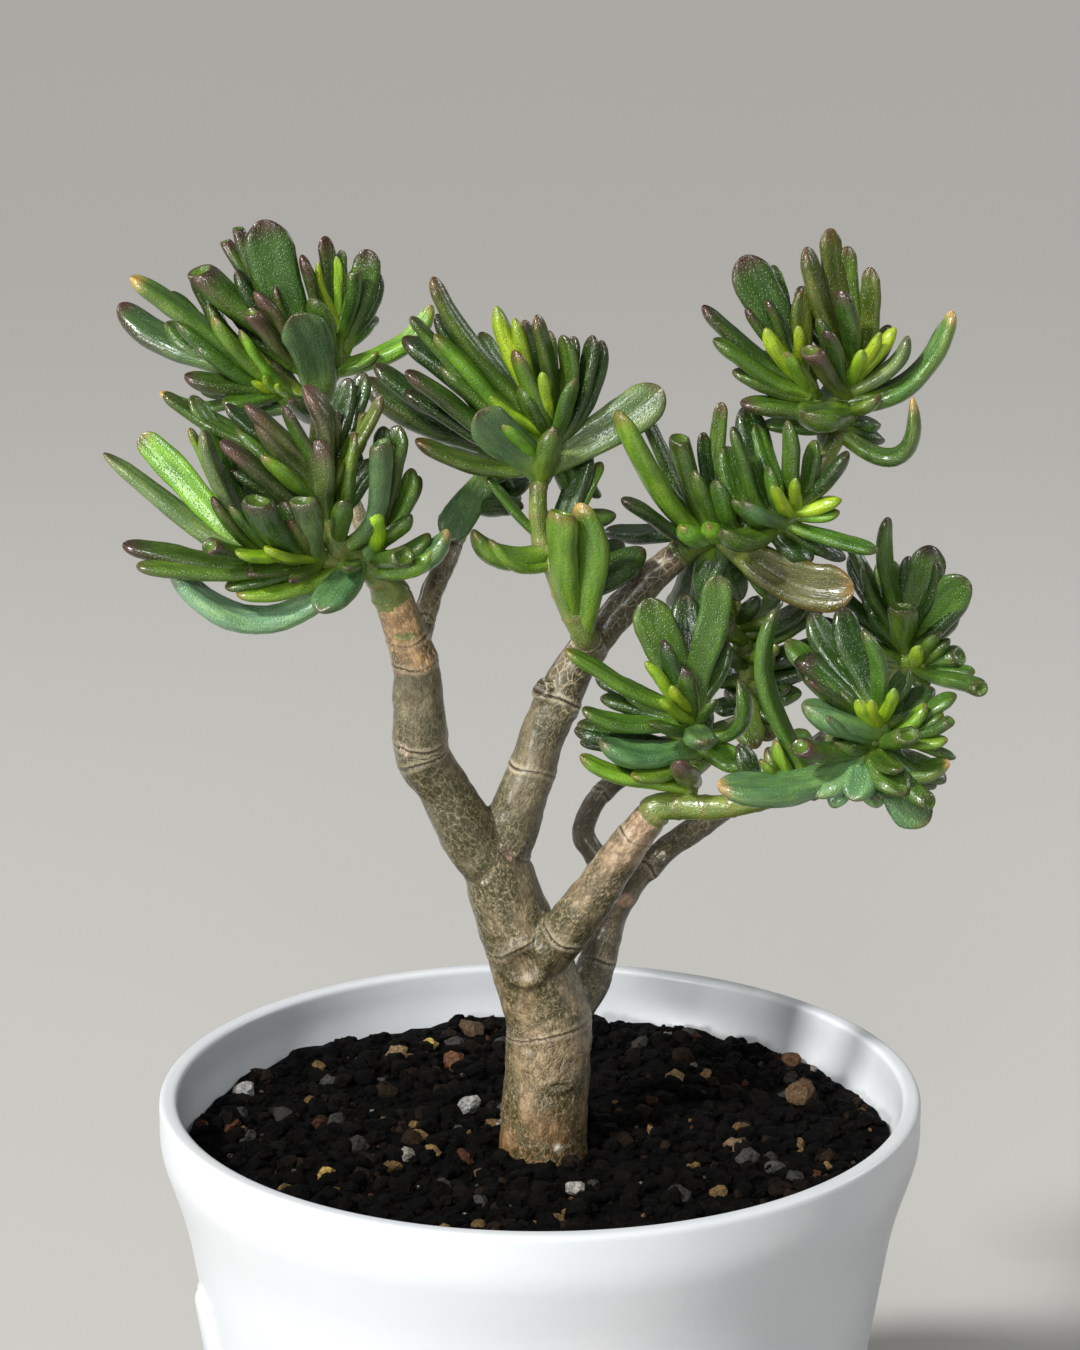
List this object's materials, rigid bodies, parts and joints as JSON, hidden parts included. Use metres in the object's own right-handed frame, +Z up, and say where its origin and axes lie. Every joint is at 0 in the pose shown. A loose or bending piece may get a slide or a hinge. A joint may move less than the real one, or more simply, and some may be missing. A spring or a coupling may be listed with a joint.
{
  "type": "jade bonsai",
  "caption": "Small jade tree with a forked bare trunk and heads of fleshy finger-like leaves, standing in soil in a round tapered white pot.",
  "frame": {"origin": "middle of the pot's foot, on the surface it stands on", "axes": "+Z up, +X to the right and +Y away from the viewer as pictured"},
  "size_m": [0.1692, 0.15, 0.3003],
  "materials": {
    "white_ceramic": "satin white glaze",
    "soil": "dark crumbly potting mix with small stones",
    "bark": "grey-olive bark with fine cracks and leaf-scar rings",
    "leaf": "fleshy waxy green leaf"
  },
  "bodies": {
    "root": {"pot": "white_ceramic", "soil": "soil", "trunk": "bark", "head_left_front": "leaf", "head_left_back": "leaf", "head_between": "leaf", "head_middle": "leaf", "head_right_upper": "leaf", "head_right_front": "leaf", "head_right_inner": "leaf", "head_right_back": "leaf"}
  },
  "joints": []
}
